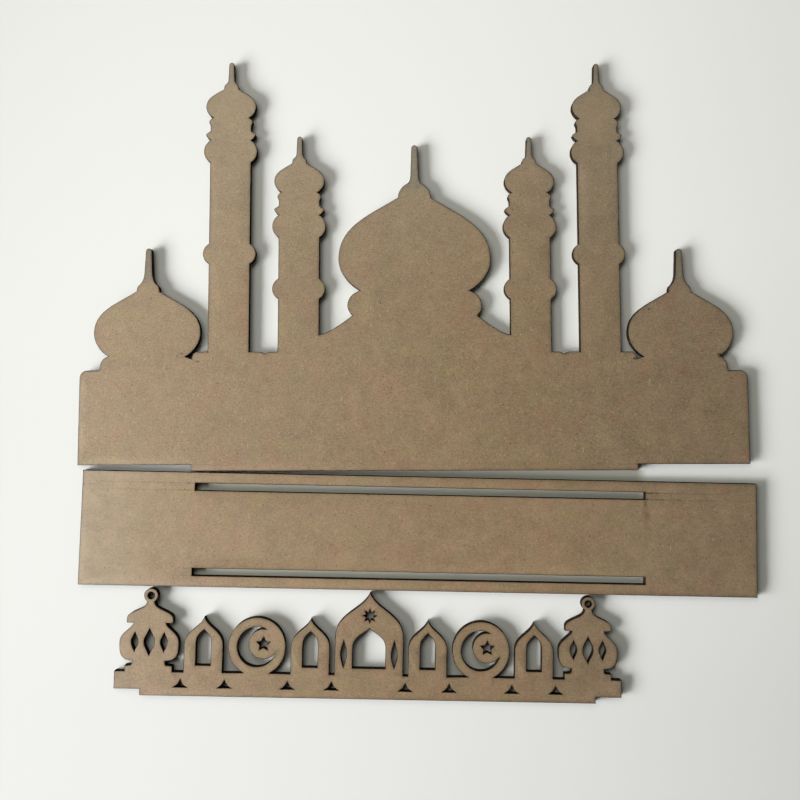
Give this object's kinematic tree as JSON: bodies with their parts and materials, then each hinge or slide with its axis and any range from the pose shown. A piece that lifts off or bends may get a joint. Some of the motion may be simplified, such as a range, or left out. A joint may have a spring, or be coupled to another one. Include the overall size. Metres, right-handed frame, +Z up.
{
  "type": "slot-together mosque table decoration",
  "caption": "Flat wooden kit for a standing mosque scene: a domed silhouette panel, a slotted base and a pierced front plate, laid out unassembled.",
  "frame": {"origin": "on the table under the middle of the footprint of the three boards as they lie", "axes": "+Z up from the table through the boards, +X along the straight foot of the mosque silhouette to the right, +Y towards its towers"},
  "size_m": [0.3024, 0.2877, 0.003],
  "materials": {
    "fibreboard": "bare matte fibreboard face, fine-grained and unpainted, with dark brown scorched laser-cut edges"
  },
  "bodies": {
    "base": {"base_plate": "fibreboard"},
    "mosque": {"mosque_panel": "fibreboard"},
    "front": {"front_plate": "fibreboard"}
  },
  "joints": [
    {"name": "mosque_raise", "type": "hinge", "parent": "base", "child": "mosque", "pos_m": [-0.00126, -0.04236, 0.003], "axis": [1, 0, 0], "range_deg": [0, 90]},
    {"name": "front_raise", "type": "hinge", "parent": "base", "child": "front", "pos_m": [-0.02219, -0.14147, 0], "axis": [0.9997, -0.0227, 0], "range_deg": [0, 90]}
  ]
}
